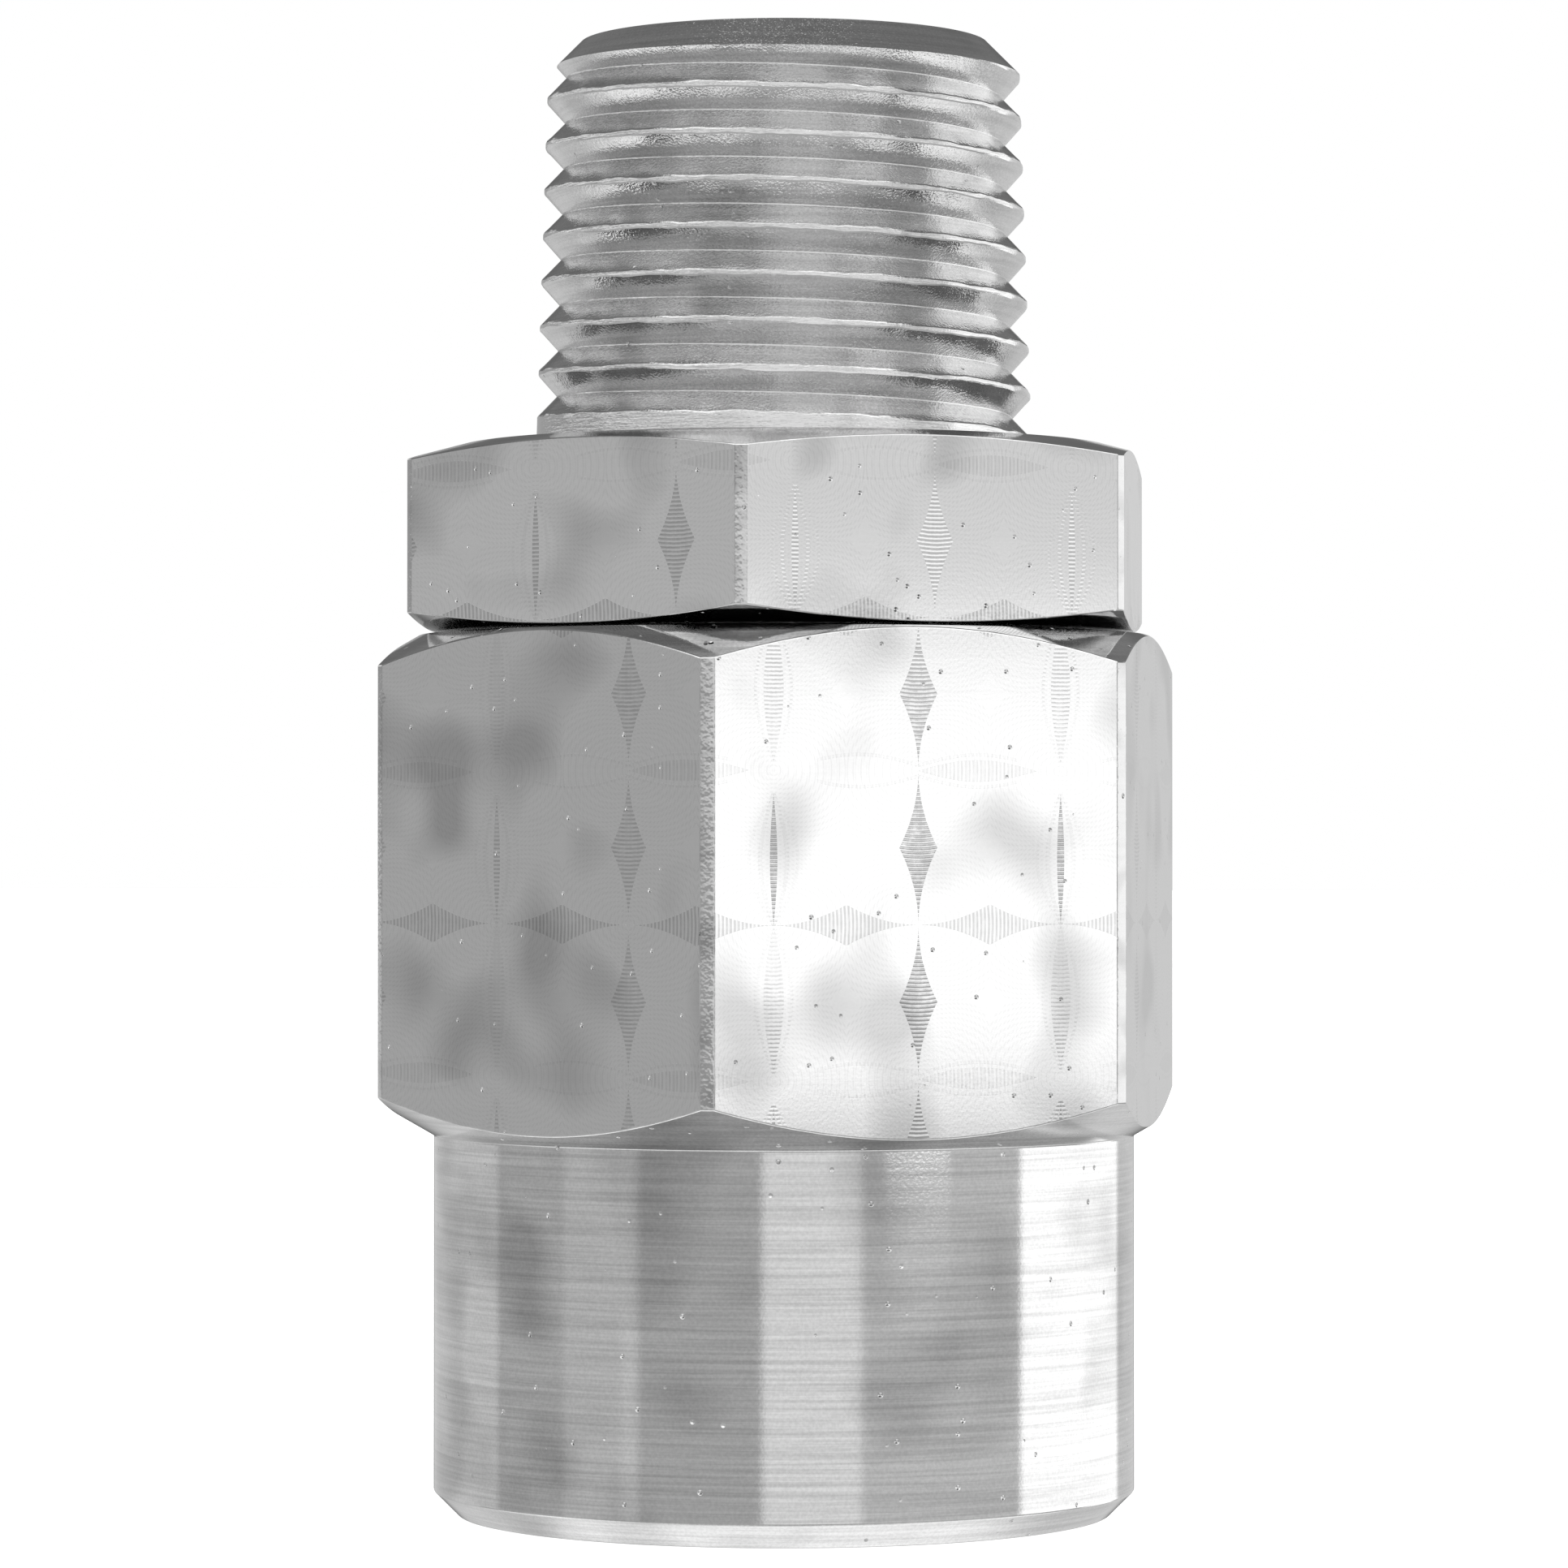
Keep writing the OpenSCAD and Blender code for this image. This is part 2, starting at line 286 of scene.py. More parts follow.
def makePlug(name, angle, height):
    shank, head, top = plug["holeR"] - plug["room"], plug["threadR"] - plug["room"], plug["topX"]
    piece = turnedPiece(name, [
        (shank, plug["tipX"]), (shank, plug["seatX"] + plug["room"]), (head, plug["seatX"] + plug["room"]),
        (head, top - plug["edge"]), (head - plug["edge"], top),
    ], segments=96)
    socketR = plug["socket"] / math.sqrt(3)
    floorX = top - plug["socketDepth"]
    combine(piece, hexagonBar("socket", plug["socket"], floorX, floorX + 2))
    combine(piece, turnedPiece("drill", [
        (0.1, floorX - plug["drillDepth"]), (plug["drillR"], floorX), (plug["drillR"], floorX + 0.1),
    ], segments=48))
    mouth = [(socketR + r, top + x) for r, x in plug["socketMouth"]]
    combine(piece, turnedPiece("mouth", mouth, segments=48))
    placePiece(piece, 90, angle, height)
    bpy.ops.object.select_all(action="DESELECT")
    bpy.ops.mesh.primitive_torus_add(  # its tip carries on the body's half of the groove
        location=(0, 0, height * mm), major_segments=192, minor_segments=48,
        major_radius=bearing["pitchR"] * mm, minor_radius=bearing["raceR"] * mm,
    )
    combine(piece, startPiece("groove"))
    return piece


def makeBody():
    slope = math.tan(math.radians(body["chamfer"]))
    piece = turnedPiece("swivelBody", [
        (body["skirtR"] - body["skirtChamfer"], 0),
        (body["skirtR"], body["skirtChamfer"]),
        (body["skirtR"], body["footZ"]),
        (body["cornerR"], body["footZ"] + (body["cornerR"] - body["skirtR"]) * slope),
        (body["cornerR"], body["topZ"] - (body["cornerR"] - body["topR"]) * slope),
        (body["topR"], body["topZ"]),
    ])
    combine(piece, hexagonBar("bar", body["acrossFlats"], *body["barZ"]), "INTERSECT")
    breakEdges(piece, body["edge"])
    past, bearingR, wiperR = body["past"], bearing["boreR"], body["wiperR"]
    combine(piece, turnedPiece("bore", [
        (body["mouthR"] + past, -past),
        (body["tapR"], body["mouthR"] - body["tapR"]),
        (body["tapR"], body["portDepth"]),
        (body["flowR"], body["portDepth"]),
        (body["flowR"], body["chamberZ"]),
        (bearingR, body["chamberZ"]),
        *raceOutline(bearingR, bearing["lowerZ"], True),
        *raceOutline(bearingR, bearing["upperZ"], True),
        (bearingR, body["wiperZ"] - body["leadIn"]),
        (bearingR + body["leadIn"], body["wiperZ"]),
        (wiperR, body["wiperZ"]),
        (wiperR, body["topZ"] - body["wiperEdge"]),
        (wiperR + body["wiperEdge"] + past, body["topZ"] + past),
    ]))
    combine(piece, threadedRod("tap", body["tap"]))
    for angle, height in zip(plug["angles"], (bearing["lowerZ"], bearing["upperZ"])):
        hole = turnedPiece("hole", [
            (plug["holeR"], plug["holeStartX"]), (plug["holeR"], plug["seatX"]),
            (plug["threadR"], plug["seatX"]), *plug["holeMouth"],
        ], segments=96)
        placePiece(hole, 90, angle, height)
        combine(piece, hole)
    return piece


# the stem: its own hexagon, the taper pipe thread above, the journal below; outlines are (radius, height)
stem = {
    "acrossFlats": 30.16, "turn": 4.01, "cornerR": 17.283, "barZ": (36, 47),
    "footZ": 37.88, "footR": 15.0, "topZ": 45.85, "topR": 14.0, "chamfer": 15, "edge": 0.05,
    "journalR": 9.5, "journalTop": 38.6,
    "nose": [(9.0, 18.9), (9.5, 19.4)],
    "sealGroove": [(9.5, 20.5), (8.11, 20.5), (8.11, 24.3), (9.5, 24.3)],
    "thread": {
        "crestR": 10.69, "crestRZ": 45.85, "lowZ": 45.2, "highZ": 63.9, "depth": 0.8, "burred": True,
        "lastTurn": 9.95, "runOut": 0.4,
    },
    "threadEnd": [(12, 44.5), (12, 60.09), (8.78, 63.31)],
    "passage": [(6.5, 17.9), (5.2, 19.2), (5.2, 62.71), (6.8, 64.31)],
}


def makeStem():
    slope = math.tan(math.radians(stem["chamfer"]))
    piece = turnedPiece("threadedStem", [
        (stem["footR"], stem["footZ"]),
        (stem["cornerR"], stem["footZ"] + (stem["cornerR"] - stem["footR"]) * slope),
        (stem["cornerR"], stem["topZ"] - (stem["cornerR"] - stem["topR"]) * slope),
        (stem["topR"], stem["topZ"]),
    ])
    combine(piece, hexagonBar("bar", stem["acrossFlats"], *stem["barZ"]), "INTERSECT")
    breakEdges(piece, stem["edge"])
    placePiece(piece, 0, stem["turn"])
    journal = turnedPiece("journal", [
        *stem["nose"], *stem["sealGroove"],
        *raceOutline(stem["journalR"], bearing["lowerZ"], False),
        *raceOutline(stem["journalR"], bearing["upperZ"], False),
        (stem["journalR"], stem["journalTop"]),
    ])
    rod = threadedRod("rod", stem["thread"])
    combine(rod, turnedPiece("envelope", stem["threadEnd"]), "INTERSECT")
    combine(piece, journal, "UNION")
    combine(piece, rod, "UNION")
    combine(piece, turnedPiece("passage", stem["passage"]))
    return piece


swivelBody = makeBody()
print("body made", len(swivelBody.data.polygons))
threadedStem = makeStem()
print("stem made", len(threadedStem.data.polygons))
plugs = [
    makePlug("lowerLoadingPlug", plug["angles"][0], bearing["lowerZ"]),
    makePlug("upperLoadingPlug", plug["angles"][1], bearing["upperZ"]),
]
print("plugs made", [len(p.data.polygons) for p in plugs])

# how the face mill left the flats: circles cross on a square lattice, in rows at "rowZ" and every "pitch" mm
# above and below; the real marks are 0.13 mm apart, drawn 0.17 mm apart so that a render shows them
milling = {
    "pitch": 6.283, "rowZ": 25.49, "shift": 0.3, "gap": 0.17,
    # lengths are shares of the pitch, half widths are in mm, and tones are shares of the full strength
    "diamond": 0.53,
    "lensLength": 0.83, "lensHalf": 0.44, "lensTone": 0.45,
    "rimAway": 0.22, "rimLength": 0.7, "rimHalf": 0.06, "rimTone": 0.25,
    "thinLength": 0.85, "thinHalf": 0.16,
    "sideHalf": 0.58, "sideTone": 0.25, "outerHalf": 1.05, "outerTone": 0.15,
    "fatLength": 0.95, "fatHalf": 0.43, "flankHalf": 0.78, "fatTone": 0.3,
    "dotReach": 0.62, "dotGap": 0.37, "dotTone": 0.26,
}


# which finish each face has: 0 turned, 1 milled flat, 2 corner, 3 thread, 4 bored and 5 crest of the thread;
# inside "boredR" all is bored, and the thread is above "threadZ" and outside "threadR"
def shareFaces(piece, sizes, boredR, threadZ=math.inf, threadR=0):
    inradius = sizes["acrossFlats"] / 2
    turn = math.radians(sizes["turn"])
    axisA = Vector((math.cos(turn - math.pi / 3), math.sin(turn - math.pi / 3), 0))
    axisB = Vector((-axisA.y, axisA.x, 0))
    flatMap = piece.data.uv_layers.new(name="flatMap")
    for face in piece.data.polygons:
        centre, normal = face.center / mm, face.normal
        reach = math.hypot(centre.x, centre.y)
        facing = (normal.x * centre.x + normal.y * centre.y) / max(reach, 0.01)  # -1 towards the axis
        upright = abs(normal.z) < 0.02 and sizes["footZ"] - 0.01 < centre.z < sizes["topZ"] + 0.01
        if upright and abs(normal.dot(centre) - inradius) < 0.02:
            face.material_index, face.use_smooth = 1, False
            across = abs(normal.dot(axisA)) > 0.8
            for loop in face.loop_indices:
                point = piece.data.vertices[piece.data.loops[loop].vertex_index].co / mm
                u = point.dot(axisB) if across else point.dot(axisA) + milling["shift"]
                flatMap.data[loop].uv = (u, point.z - milling["rowZ"])
        elif upright and reach > inradius + 0.5:
            face.material_index = 2
        elif centre.z > threadZ and (facing > 0 or abs(normal.z) > 0.5) and reach > threadR:
            face.material_index = 5 if facing > 0.85 else 3
        elif facing < -0.2 or reach < boredR:
            face.material_index = 4


def surface(name, finish):
    material = bpy.data.materials.new(name)
    material.use_nodes = True
    tree = material.node_tree
    tree.nodes.clear()
    shader = addNode(tree, "BsdfPrincipled", {
        "Metallic": finish.get("metallic", 1.0), "Roughness": finish["roughness"],
    })
    addNode(tree, "OutputMaterial", {"Surface": shader})
    place = addNode(tree, "TexCoord").outputs["Object"]

    # tone in soft blotches of about "cloudSize" mm
    cloud = addNode(tree, "TexNoise", {
        "Vector": place, "Scale": 1000 / finish["cloudSize"], "Detail": 1.0, "Roughness": 0.4,
    })
    tone = addNode(tree, "ValToRGB", {"Fac": cloud})
    for element, position, shade in zip(tone.color_ramp.elements, (0.31, 0.5), finish["tones"]):
        element.position, element.color = position, hexColour(shade)

    # tool lines: noise drawn out along the cut, "lineGap" mm apart
    stretch = finish.get("lineStretch", 0.015)
    stretched = addNode(tree, "Mapping", {"Vector": place, "Scale": (stretch, stretch, 1)})
    lines = addNode(tree, "TexNoise", {
        "Vector": stretched, "Scale": 1000 / finish["lineGap"], "Detail": 3.0, "Roughness": 0.7,
    })
    streaks = addNode(tree, "MapRange", {0: lines, 1: 0.35, 2: 0.62, 3: 1 - finish["lineTone"], 4: 1.0})

    # fine sandy grain, seen most where one reflection ends and the next begins
    grain = addNode(tree, "TexNoise", {
        "Vector": place, "Scale": 1000 / finish["grainSize"], "Detail": 1.0, "Roughness": 0.5,
    })
    darkest = 1 - finish.get("grainTone", 0.02)
    sand = addNode(tree, "MapRange", {0: grain, 1: 0.35, 2: 0.65, 3: darkest, 4: 1.0})
    shades = [(1.0, streaks), (1.0, sand)]  # how far each darkens the colour
    reliefs = [(lines, finish["lineDepth"]), (grain, finish["grainDepth"])]

    # a pit of up to 0.2 mm in some of the cells of "pitGap" mm: a bump for its hollow, and painted shade that
    # darkens its colour
    if "pitR" in finish:
        cells = addNode(tree, "TexVoronoi", {"Vector": place, "Scale": 1000 / finish["pitGap"]})
        pit = addNode(tree, "MapRange", {0: cells, 1: 0.0, 2: finish["pitR"] / finish["pitGap"]},
                      interpolation_type="SMOOTHSTEP")
        # painted shade: the colour darkens to 0.9 inside each pit
        pitShade = addNode(tree, "MapRange", {0: pit, 1: 0.0, 2: 1.0, 3: 0.9, 4: 1.0})
        shades.append((1.0, pitShade))
        reliefs.append((pit, 0.1))

    if "dashTone" in finish:
        dashes, marks = millingMarks(tree)
        shades.append((marks, hexColour(finish["dashTone"])))
        reliefs.append((dashes, finish["dashDepth"]))
    colour = tone.outputs["Color"]
    for share, shade in shades:
        darker = addNode(
            tree, "Mix", {0: share, 6: colour, 7: shade}, data_type="RGBA", blend_type="MULTIPLY"
        )
        colour = darker.outputs[2]
    bump = None
    for height, depth in reliefs:
        bump = addNode(tree, "Bump", {
            "Strength": 1.0, "Distance": depth * mm, "Height": height, "Normal": bump,
        })
    tree.links.new(bump.outputs["Normal"], shader.inputs["Normal"])
    tree.links.new(colour, shader.inputs["Base Color"])
    return material


# the mill's circles leave bands of dashes: diamonds between the crossings, lenses and spindles beside them
def millingMarks(tree):
    m = milling
    pitch, wave = m["pitch"], 2 * math.pi / m["gap"]
    flatMap = addNode(tree, "UVMap", uv_map="flatMap")
    uneven = addNode(tree, "TexNoise", {"Vector": flatMap, "Scale": 2.2, "Detail": 2.0, "Roughness": 0.6})
    flat = addNode(tree, "SeparateXYZ", [flatMap])
    known = {"u": flat.outputs["X"], "v": flat.outputs["Y"], "uneven": uneven}
    for name, operation, *values in (
        ("hu", "PINGPONG", "u", pitch / 2),          # distance to the nearest column and row
        ("hv", "PINGPONG", "v", pitch / 2),
        ("cu", "PINGPONG", "u", pitch),              # from a diamond column, from a strong row
        ("cv", "PINGPONG", "v", pitch),
        ("ru", "FLOORED_MODULO", "u", 2 * pitch),    # to the right of a diamond column, above a strong row
        ("rv", "FLOORED_MODULO", "v", 2 * pitch),
        ("uu", "MULTIPLY", "hu", "hu"),
        ("vv", "MULTIPLY", "hv", "hv"),
        ("diamondColumn", "LESS_THAN", "cu", pitch / 2),
        ("strongRow", "LESS_THAN", "cv", pitch / 2),
        ("spindleColumn", "SUBTRACT", 1.0, "diamondColumn"),
        ("lensRow", "SUBTRACT", 1.0, "strongRow"),
        # dashes across and upright
        ("bow", "MULTIPLY_ADD", "uu", -0.1, "v"),
        ("bow", "MULTIPLY", "bow", wave),
        ("bow", "SINE", "bow"),
        ("dashAcross", "MULTIPLY_ADD", "bow", 0.5, 0.5),
        ("upright", "MULTIPLY_ADD", "vv", 0.06, "u"),
        ("upright", "MULTIPLY", "upright", wave),
        ("upright", "SINE", "upright"),
        ("dashUpright", "MULTIPLY_ADD", "upright", 0.5, 0.5),
        # concave diamonds
        ("edge", "MULTIPLY", "vv", m["diamond"] / pitch),
        ("tall", "LESS_THAN", "hu", "edge"),
        ("tall", "MULTIPLY", "tall", "diamondColumn"),
        ("edge", "MULTIPLY", "uu", m["diamond"] / pitch),
        ("wide", "LESS_THAN", "hv", "edge"),
        ("wide", "MULTIPLY", "wide", "strongRow"),
        # lens to the right of a crossing in the other rows, outlined to its left
        ("arch", "MULTIPLY", "cu", math.pi / (m["lensLength"] * pitch)),
        ("arch", "SINE", "arch"),
        ("arch", "MULTIPLY", "arch", m["lensHalf"]),
        ("lens", "LESS_THAN", "hv", "arch"),
        ("right", "LESS_THAN", "ru", pitch),
        ("lens", "MULTIPLY", "lens", "right"),
        ("lens", "MULTIPLY", "lens", "lensRow"),
        ("rim", "SUBTRACT", "hv", "arch"),
        ("rim", "COMPARE", "rim", m["rimAway"], m["rimHalf"]),
        ("rim", "MULTIPLY", "rim", "lensRow"),
        ("near", "LESS_THAN", "cu", m["rimLength"] * pitch),
        ("rim", "MULTIPLY", "rim", "near"),
        # thin spindle above a strong row, with a faint bow on both sides
        ("swell", "MULTIPLY", "rv", math.pi / (m["thinLength"] * pitch)),
        ("swell", "SINE", "swell"),
        ("above", "LESS_THAN", "rv", m["thinLength"] * pitch),
        ("above", "MULTIPLY", "above", "spindleColumn"),
        ("thin", "MULTIPLY", "swell", m["thinHalf"]),
        ("thin", "LESS_THAN", "hu", "thin"),
        ("thin", "MULTIPLY", "thin", "above"),
        ("side", "MULTIPLY_ADD", "swell", -m["sideHalf"], "hu"),
        ("side", "COMPARE", "side", 0.0, 0.08),
        ("side", "MULTIPLY", "side", "above"),
        ("outer", "MULTIPLY_ADD", "swell", -m["outerHalf"], "hu"),
        ("outer", "COMPARE", "outer", 0.0, m["rimHalf"]),
        ("outer", "MULTIPLY", "outer", "above"),
        # wide faint spindle below it
        ("below", "SUBTRACT", 2 * pitch, "rv"),
        ("bulge", "MULTIPLY", "below", math.pi / (m["fatLength"] * pitch)),
        ("bulge", "SINE", "bulge"),
        ("fat", "MULTIPLY", "bulge", m["fatHalf"]),
        ("fat", "LESS_THAN", "hu", "fat"),
        ("flank", "MULTIPLY_ADD", "bulge", -m["flankHalf"], "hu"),
        ("flank", "COMPARE", "flank", 0.0, m["rimHalf"]),
        ("fat", "MULTIPLY_ADD", "flank", 0.5, "fat"),
        ("below", "LESS_THAN", "below", m["fatLength"] * pitch),
        ("fat", "MULTIPLY", "fat", "below"),
        ("fat", "MULTIPLY", "fat", "spindleColumn"),
        # rings of dots round each crossing, plainest between the rows and columns
        ("ring", "ADD", "uu", "vv"),
        ("ring", "SQRT", "ring"),
        ("reach", "LESS_THAN", "ring", m["dotReach"] * pitch),
        ("ring", "MULTIPLY", "ring", wave),
        ("ring", "SINE", "ring"),
        ("spoke", "MULTIPLY", "hu", 2 * math.pi / m["dotGap"]),
        ("spoke", "SINE", "spoke"),
        ("dots", "MULTIPLY", "ring", "spoke"),
        ("dots", "MAXIMUM", "dots", 0.0),
        ("dots", "MULTIPLY", "dots", "reach"),
        # all together, in uneven strength
        ("across", "MULTIPLY_ADD", "side", m["sideTone"], "thin"),
        ("across", "MULTIPLY_ADD", "outer", m["outerTone"], "across"),
        ("across", "MULTIPLY_ADD", "fat", m["fatTone"], "across"),
        ("across", "MAXIMUM", "across", "tall"),
        ("across", "MULTIPLY", "across", "dashAcross"),
        ("along", "MULTIPLY", "rim", m["rimTone"]),
        ("along", "MULTIPLY_ADD", "lens", m["lensTone"], "along"),
        ("along", "MAXIMUM", "along", "wide"),
        ("along", "MULTIPLY", "along", "dashUpright"),
        ("dashes", "MAXIMUM", "across", "along"),
        ("uneven", "MULTIPLY_ADD", "uneven", 1.4, 0.25),
        ("dashes", "MULTIPLY", "dashes", "uneven"),
        ("all", "MULTIPLY_ADD", "dots", m["dotTone"], "dashes"),
    ):
        inputs = [known[v] if isinstance(v, str) else v for v in values]
        known[name] = addNode(tree, "Math", inputs, operation=operation)
    return known["dashes"], known["all"]


finishes = {
    # mild steel bar, turned in the lathe: mirror-like with fine lines all round
    "turned bright steel": {
        "roughness": 0.07, "cloudSize": 5, "tones": ("#CACACA", "#ECECEC"), "lineGap": 0.2, "lineTone": 0.24,
        "lineDepth": 0.0005, "grainSize": 0.13, "grainDepth": 0.001, "grainTone": 0.1,
        "pitGap": 1.35, "pitR": 0.13,
    },
    # the hexagon's flats, cut with a face mill
    "face milled steel": {
        "roughness": 0.08, "cloudSize": 5, "tones": ("#C0C0C0", "#E2E2E2"), "lineGap": 0.3, "lineTone": 0.02,
        "lineDepth": 0.0002, "grainSize": 0.13, "grainDepth": 0.0003, "pitGap": 1.1, "pitR": 0.11,
        "dashTone": "#D8D8D8", "dashDepth": 0.002,
    },
    # the narrow strips left of the bar's corners, sandy
    "turned corner of the bar": {
        "roughness": 0.12, "cloudSize": 2, "tones": ("#B8B8B8", "#D4D4D4"), "lineGap": 0.3, "lineTone": 0.05,
        "lineDepth": 0.0008, "grainSize": 0.2, "grainDepth": 0.02, "pitGap": 1.35, "pitR": 0.12,
    },
    # pipe thread cut with a single point: fine lines along the flanks and a sandy grain
    "cut thread steel": {
        "roughness": 0.08, "cloudSize": 4, "tones": ("#DADADA", "#E8E8E8"), "lineGap": 0.2, "lineTone": 0.18,
        "lineDepth": 0.0008, "grainSize": 0.1, "grainDepth": 0.012, "grainTone": 0.14,
        "pitGap": 1.6, "pitR": 0.12,
    },
    # bores and chambers: duller, with coarser lines
    "bored steel": {
        "roughness": 0.2, "cloudSize": 5, "tones": ("#A8A8A8", "#CCCCCC"), "lineGap": 0.25, "lineTone": 0.25,
        "lineDepth": 0.003, "grainSize": 0.15, "grainDepth": 0.01, "pitGap": 1.6, "pitR": 0.08,
    },
    # crests of the thread, burred into short bright streaks
    "burred crest steel": {
        "roughness": 0.09, "cloudSize": 4, "tones": ("#D4D4D4", "#E2E2E2"), "lineGap": 0.12, "lineTone": 0.1,
        "lineStretch": 0.06, "lineDepth": 0.012, "grainSize": 0.13, "grainDepth": 0.006,
        "pitGap": 1.6, "pitR": 0.1,
    },
    # screw plugs turned from hardened bar
    "plug steel": {
        "roughness": 0.22, "cloudSize": 2, "tones": ("#9E9E9E", "#C4C4C4"), "lineGap": 0.12, "lineTone": 0.15,
        "lineDepth": 0.002, "grainSize": 0.1, "grainDepth": 0.01, "pitGap": 1.2, "pitR": 0.07,
    },
    # lapped bearing balls
    "ball steel": {
        "roughness": 0.04, "cloudSize": 1.5, "tones": ("#DADADC", "#E6E6E8"),
        "lineGap": 0.2, "lineTone": 0.02, "lineDepth": 0.0001, "grainSize": 0.1, "grainDepth": 0.0003,
    },
    # moulded nitrile rubber with a film of grease
    "nitrile rubber": {
        "metallic": 0.0, "roughness": 0.38, "cloudSize": 1.5, "tones": ("#121212", "#1F1F1F"),
        "lineGap": 0.3, "lineTone": 0.1, "lineDepth": 0.002, "grainSize": 0.12, "grainDepth": 0.012,
    },
    # ground rubber lip, matt
    "wiper rubber": {
        "metallic": 0.0, "roughness": 0.62, "cloudSize": 2, "tones": ("#191919", "#282828"),
        "lineGap": 0.2, "lineTone": 0.2, "lineDepth": 0.006, "grainSize": 0.12, "grainDepth": 0.02,
    },
    # skived PTFE, waxy white with faint lines round it
    "ptfe": {
        "metallic": 0.0, "roughness": 0.42, "cloudSize": 1.2, "tones": ("#DEDBD2", "#F0EEE8"),
        "lineGap": 0.15, "lineTone": 0.06, "lineDepth": 0.004, "grainSize": 0.1, "grainDepth": 0.004,
    },
}
surfaces = {name: surface(name, finish) for name, finish in finishes.items()}

barFinishes = list(finishes)[:6]  # in the order of the face numbers above
for piece, node, rides, slot, names in (
    (swivelBody, "swivel_body", "housing", "turned_steel", barFinishes),
    (threadedStem, "male_stem", "stem", "turned_steel", barFinishes),
    (plugs[0], "lower_loading_plug", "housing", "plug_steel", ["plug steel"]),
    (plugs[1], "upper_loading_plug", "housing", "plug_steel", ["plug steel"]),
):
    pickOut(piece)
    bpy.ops.object.shade_smooth_by_angle(angle=math.radians(9))
    piece.data.materials.clear()
    for name in names:
        piece.data.materials.append(surfaces[name])
    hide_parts(node)
    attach(piece, rides)
shareFaces(swivelBody, body, boredR=11.45)
shareFaces(threadedStem, stem, boredR=5.25, threadZ=45.9, threadR=8.8)

# the seals and balls keep their CAD shape
sealFinish = {
    "o_ring": "nitrile rubber", "lower_backup_ring": "ptfe", "upper_backup_ring": "ptfe",
    "dust_wiper": "wiper rubber",
}
for name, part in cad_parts.items():
    finish = "ball steel" if "_ball_" in name else sealFinish.get(name)
    if finish:
        for place in part.material_slots:
            place.material = surfaces[finish]
print("finishes on")

# the floor shows from above only, so that the port can be seen from below
ground = {"size": 6, "drop": 0.01, "colour": "#F2F2F2", "glow": 0.8}
bpy.ops.object.select_all(action="DESELECT")
bpy.ops.mesh.primitive_plane_add(size=ground["size"], location=(0, 0, -ground["drop"] * mm))
floor = startPiece("floor")
floor.visible_glossy = False  # the steel mirrors the table in the studio light instead
floorPaint = bpy.data.materials.new("pale floor")
floorPaint.use_nodes = True
tree = floorPaint.node_tree
tree.nodes.clear()
matt = addNode(tree, "BsdfPrincipled", {
    "Base Color": hexColour(ground["colour"]), "Roughness": 0.9, "Specular IOR Level": 0.0,
    "Emission Color": hexColour("#FFFFFF"), "Emission Strength": ground["glow"],
})
fromBelow = addNode(tree, "NewGeometry").outputs["Backfacing"]
oneSided = addNode(tree, "MixShader", [fromBelow, matt, addNode(tree, "BsdfTransparent")])
addNode(tree, "OutputMaterial", {"Surface": oneSided})
floor.data.materials.append(floorPaint)

# soft light all round as upright bands: (its end in degrees to the right of the camera, its level).
# Patches lie over them, each over those before it: (its level, where it lies). "angle" is in degrees to the
# right of the camera, "away" in degrees from straight behind the object, "slope" is the height on a sphere of
# radius 1, "near" the reach towards the camera. Two numbers are a soft edge, from none of the patch to all of
# it, and four are a rising edge and a falling one. A level may itself be (level, level over it, where).
studio = {
    "cameraAngle": -80.19,
    "bands": [
        (-107, 0.64), (-76, 0.46), (-54, 0.55), (-48, 0.62), (-7, 0.45), (25, 0.84), (83, 0.6), (141, 1.4),
        (180, 0.66),
    ],
    "edgeWidth": 1.5,
    "lean": 0.5,  # a patch's "low" is the slope plus this share of "near"
    "patches": [
        # left, and left higher up
        (0.4, {"slope": (-0.015, 0.005), "angle": (-84, -92)}),
        (0.4, {"slope": (0.068, 0.08), "angle": (-50, -56)}),
        # in front, brighter to the right
        ((0.5, 0.98, {"angle": (-60, 10)}), {"slope": (-0.015, 0.005), "angle": (-52, -46, 20, 26)}),
        # bright low panel to the right, and the wall above it
        (1.45, {"slope": (-0.048, -0.0435, 0.0314, 0.0384), "angle": (31, 35, 53, 57)}),
        (0.8, {"slope": (0.0314, 0.0384), "angle": (22, 26, 53, 57)}),
        # glow round the upper wall, dark straight behind, and the dim ceiling
        ((1.0, 0.15, {"away": (30, 15)}), {"slope": (0.12, 0.15)}),
        (0.2, {"slope": (0.24, 0.36)}),
        # lamps: high at the back, softbox over the camera, straight above
        (0.75, {"slope": (0.78, 0.84, 0.93, 0.97), "away": (35, 25)}),
        (1.5, {"slope": (0.34, 0.42, 0.82, 0.88), "near": (0.1, 0.25)}),
        (0.8, {"slope": (0.8, 0.88), "near": (-0.04, 0.06)}),
        # the table, shaded away from the object's front and bright beneath it
        ((0.46, 0.64, {"angle": (-60, -38, 25, 45)}), {"slope": (-0.16, -0.22), "away": (50, 65)}),
        (((1.12, 0.68, {"near": (-0.3, -0.7)}), 0.52, {"low": (-0.82, -0.76)}), {"slope": (-0.33, -0.45)}),
        # dark gap low behind the object
        (0.15, {"slope": (-0.6, -0.5, -0.06, -0.03), "away": (14, 4)}),
    ],
    "backdrop": 1.0,  # what the camera itself sees
}
world = bpy.data.worlds.new("studio")
bpy.context.scene.world = world
world.use_nodes = True
tree = world.node_tree
tree.nodes.clear()
direction = addNode(tree, "TexCoord").outputs["Generated"]
towards = addNode(tree, "SeparateXYZ", [direction])
slope = towards.outputs["Z"]
turn = addNode(tree, "Math", [towards.outputs["Y"], towards.outputs["X"]], operation="ARCTAN2")
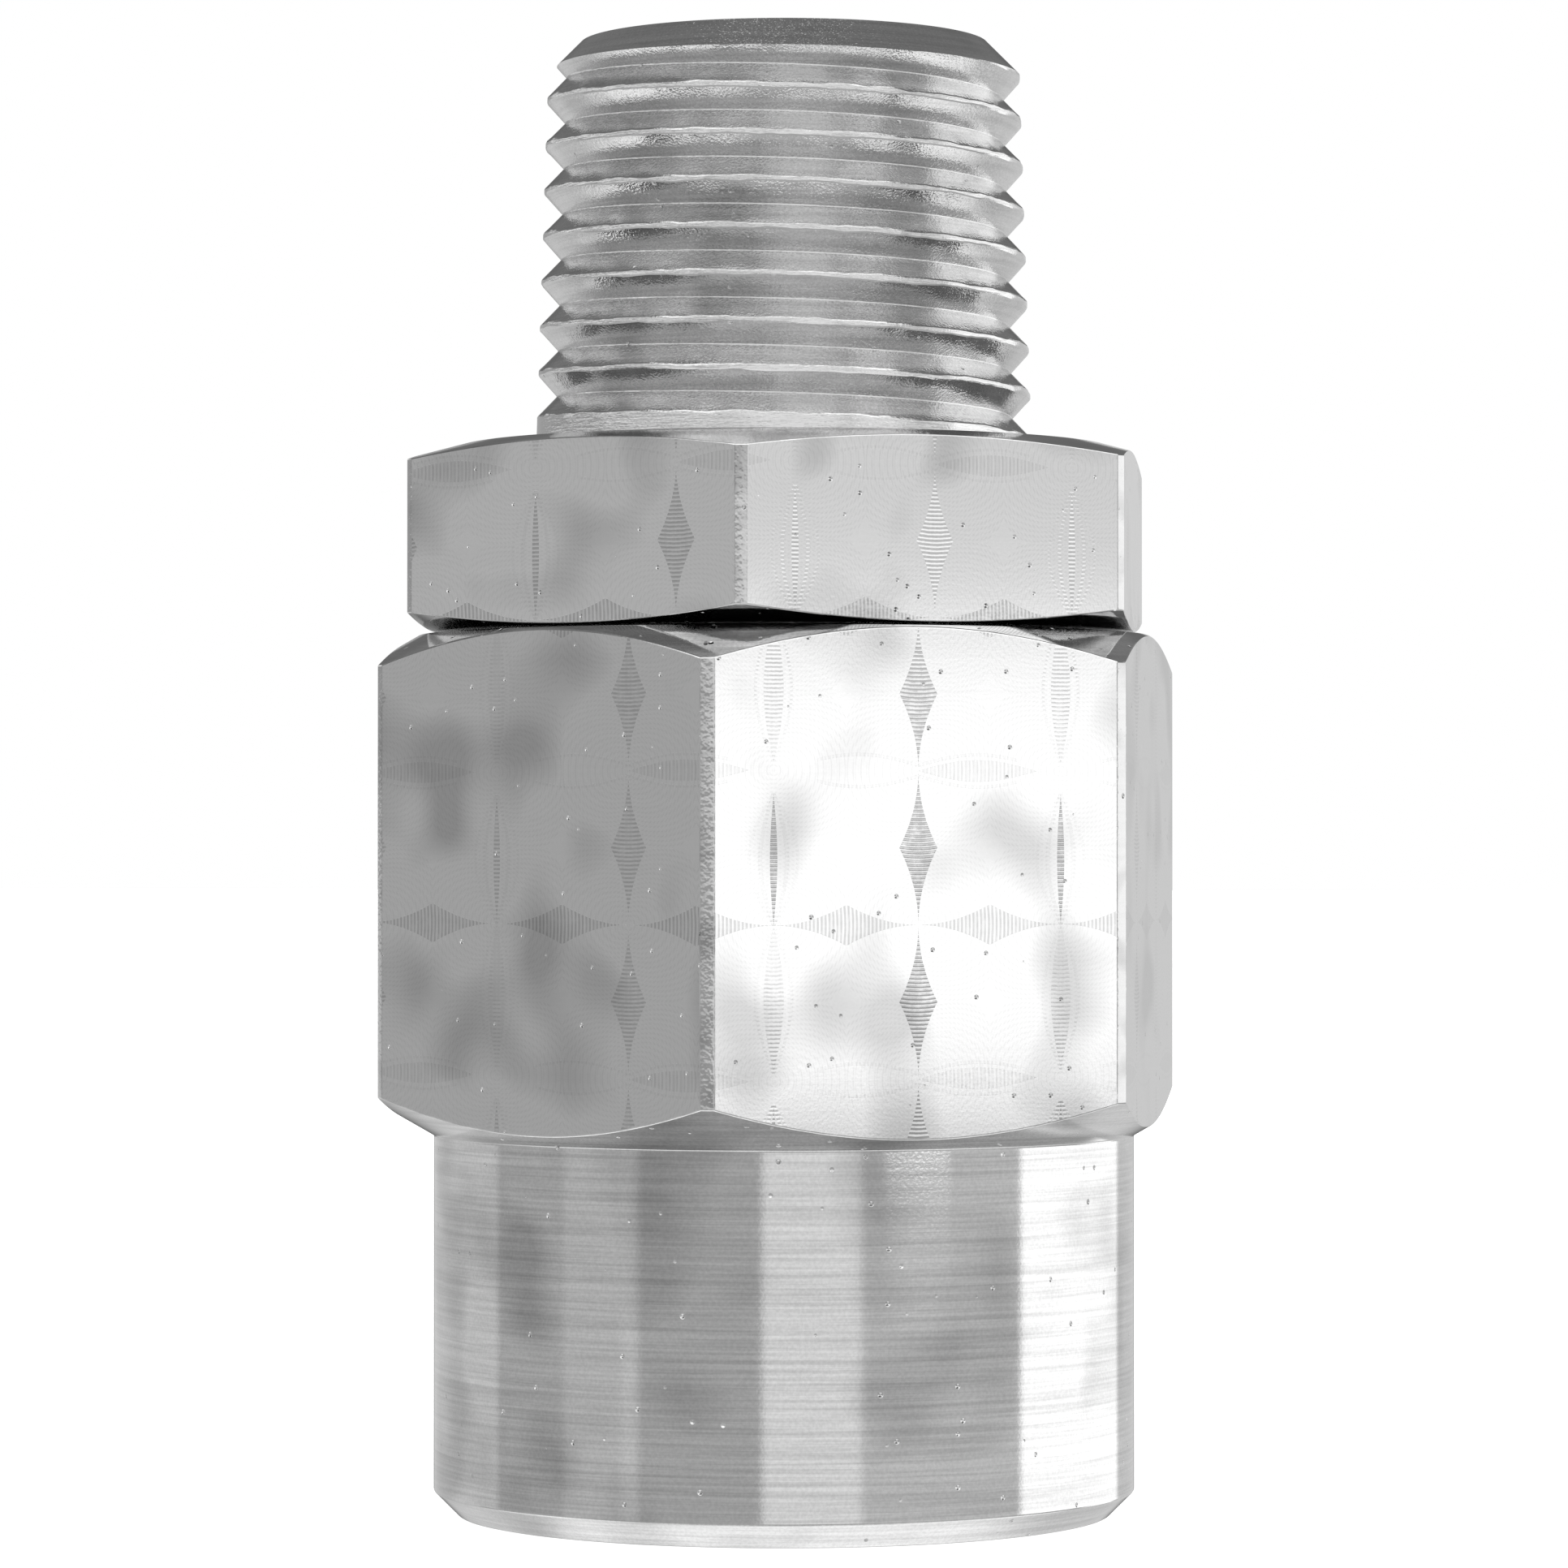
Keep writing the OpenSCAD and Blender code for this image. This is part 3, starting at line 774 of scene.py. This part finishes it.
turn = addNode(tree, "Math", [turn, math.radians(180 - studio["cameraAngle"])], operation="ADD")
turn = addNode(tree, "Math", [turn, 1 / (2 * math.pi)], operation="MULTIPLY")
turn = addNode(tree, "Math", [turn, 1.0, 0.0], operation="WRAP")  # 0 to 1 round from straight behind
away = addNode(tree, "Math", [turn, 0.5], operation="PINGPONG")
cameraWay = math.radians(studio["cameraAngle"])
near = addNode(
    tree, "VectorMath", [direction, (math.cos(cameraWay), math.sin(cameraWay), 0)], operation="DOT_PRODUCT"
).outputs["Value"]
measures = {
    "angle": addNode(tree, "Math", [turn, 360.0, -180.0], operation="MULTIPLY_ADD"),
    "away": addNode(tree, "Math", [away, 360.0], operation="MULTIPLY"),
    "slope": slope,
    "near": near,
    "low": addNode(tree, "Math", [near, studio["lean"], slope], operation="MULTIPLY_ADD"),
}

bandRamp = addNode(tree, "ValToRGB", [turn])
stops = [(0.0, studio["bands"][0][1])]
for (end, level), (_, nextLevel) in zip(studio["bands"], studio["bands"][1:]):
    stops.append(((end + 180 - studio["edgeWidth"]) / 360, level))
    stops.append(((end + 180 + studio["edgeWidth"]) / 360, nextLevel))
stops.append((1.0, studio["bands"][-1][1]))
elements = bandRamp.color_ramp.elements
for _ in range(len(stops) - 2):
    elements.new(0.5)
for element, (position, _) in zip(elements, stops):
    element.position = position
for element, (_, level) in zip(elements, stops):  # once all stand in their order
    element.color = (level, level, level, 1)


def layOver(under, over, limits):  # one level over another, inside soft edges
    share = None
    for measure, edges in limits.items():
        for start, end in (edges[:2], edges[:1:-1])[:len(edges) // 2]:
            edge = addNode(
                tree, "MapRange", {0: measures[measure], 1: start, 2: end}, interpolation_type="SMOOTHSTEP"
            )
            share = addNode(tree, "Math", [share, edge], operation="MULTIPLY") if share else edge
    if isinstance(under, tuple):
        under = layOver(*under)
    if isinstance(over, tuple):
        over = layOver(*over)
    return addNode(tree, "Mix", {0: share, 2: under, 3: over})


level = bandRamp.outputs["Color"]
for tone, limits in studio["patches"]:
    level = layOver(level, tone, limits)
seen = addNode(tree, "LightPath").outputs["Is Camera Ray"]
level = addNode(tree, "Mix", {0: seen, 2: level, 3: studio["backdrop"]})
background = addNode(tree, "Background", {"Color": (1, 1, 1, 1), "Strength": level})
addNode(tree, "OutputWorld", {"Surface": background})
print("light made")
